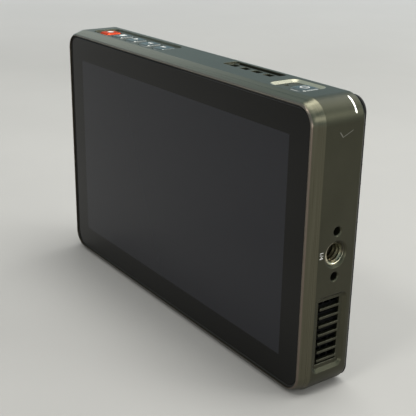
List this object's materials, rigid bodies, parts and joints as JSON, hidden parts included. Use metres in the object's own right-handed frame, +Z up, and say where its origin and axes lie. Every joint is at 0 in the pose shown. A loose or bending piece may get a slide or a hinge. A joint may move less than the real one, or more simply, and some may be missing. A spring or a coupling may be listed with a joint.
{
  "type": "camera field monitor",
  "caption": "Thin metal camera monitor and recorder with a glass screen, a row of transport buttons, side thread and vent, and a rear battery bay.",
  "frame": {"origin": "on the surface that the monitor stands on, under the middle of its bounding box", "axes": "+X to the right as seen from the screen side, +Y from the screen to the back, +Z up"},
  "size_m": [0.1304, 0.0278, 0.0819],
  "materials": {
    "shell_metal": "satin anodised",
    "black_plastic": "fine matt",
    "dark_glass": "gloss",
    "gasket_foam": "matt",
    "panel_black": "gloss",
    "bare_alloy": "satin",
    "board_green": "solder mask",
    "brass": "satin",
    "steel": "satin",
    "insert_steel": "machined",
    "black_screw": "blackened",
    "chip_black": "matt",
    "pad_grey": "matt",
    "copper": "satin copper",
    "rotor_plastic": "matt",
    "mesh_black": "matt",
    "switch_tin": "satin",
    "light_plastic": "gloss",
    "ribbon_film": "satin",
    "button_red": "satin",
    "button_grey": "satin",
    "socket_metal": "satin",
    "socket_black": "satin"
  },
  "bodies": {
    "monitor": {"front_housing": "shell_metal", "rear_cover": "black_plastic", "cover_glass": "dark_glass", "glass_gasket": "gasket_foam", "lcd_panel": "panel_black", "mid_frame": "bare_alloy", "main_board": "board_green", "board_standoffs": "brass", "board_screws": "steel", "chips": "chip_black", "thermal_pad": "pad_grey", "heat_spreader": "copper", "heat_pipe": "copper", "heat_fins": "bare_alloy", "fan_housing": "black_plastic", "fan_shaft": "steel", "vent_screen": "mesh_black", "inlet_grille": "black_plastic", "button_board": "board_green", "button_switches": "switch_tin", "power_board": "board_green", "power_switch": "switch_tin", "power_light": "light_plastic", "button_ribbons": "ribbon_film", "display_ribbon": "ribbon_film", "speaker": "chip_black", "speaker_gasket": "gasket_foam", "speaker_screen": "mesh_black", "side_thread_insert": "insert_steel", "base_thread_insert": "insert_steel", "video_socket": "socket_metal", "usb_socket": "socket_metal", "headphone_jack": "socket_black", "card_reader": "socket_metal", "power_inlet": "socket_black", "battery_housing": "black_plastic", "battery_shoe": "black_plastic", "battery_contacts": "brass", "latch_spring": "steel", "cover_screws": "black_screw"},
    "record_key": {"record_button": "button_red"},
    "stop_key": {"stop_button": "button_grey"},
    "play_key": {"play_button": "button_grey"},
    "back_key": {"back_button": "button_grey"},
    "forward_key": {"forward_button": "button_grey"},
    "power_key": {"power_button": "button_grey"},
    "rotor": {"fan_rotor": "rotor_plastic"},
    "latch": {"battery_latch": "black_plastic"}
  },
  "joints": [
    {"name": "record_press", "type": "slide", "parent": "monitor", "child": "record_key", "axis": [0, 0, -1], "range_m": [0, 0.0004], "stiffness_N_per_m": 600, "springref_m": -0.0006},
    {"name": "stop_press", "type": "slide", "parent": "monitor", "child": "stop_key", "axis": [0, 0, -1], "range_m": [0, 0.0004], "stiffness_N_per_m": 600, "springref_m": -0.0006},
    {"name": "play_press", "type": "slide", "parent": "monitor", "child": "play_key", "axis": [0, 0, -1], "range_m": [0, 0.0004], "stiffness_N_per_m": 600, "springref_m": -0.0006},
    {"name": "back_press", "type": "slide", "parent": "monitor", "child": "back_key", "axis": [0, 0, -1], "range_m": [0, 0.0004], "stiffness_N_per_m": 600, "springref_m": -0.0006},
    {"name": "forward_press", "type": "slide", "parent": "monitor", "child": "forward_key", "axis": [0, 0, -1], "range_m": [0, 0.0004], "stiffness_N_per_m": 600, "springref_m": -0.0006},
    {"name": "power_press", "type": "slide", "parent": "monitor", "child": "power_key", "axis": [0, 0, -1], "range_m": [0, 0.0004], "stiffness_N_per_m": 600, "springref_m": -0.0006},
    {"name": "fan_spin", "type": "hinge", "parent": "monitor", "child": "rotor", "pos_m": [0.0439, -0.00495, 0.01797], "axis": [0, 1, 0], "continuous": true},
    {"name": "latch_slide", "type": "slide", "parent": "monitor", "child": "latch", "axis": [1, 0, 0], "range_m": [0, 0.002], "stiffness_N_per_m": 400, "springref_m": -0.002, "deforming": ["latch_spring"]}
  ]
}
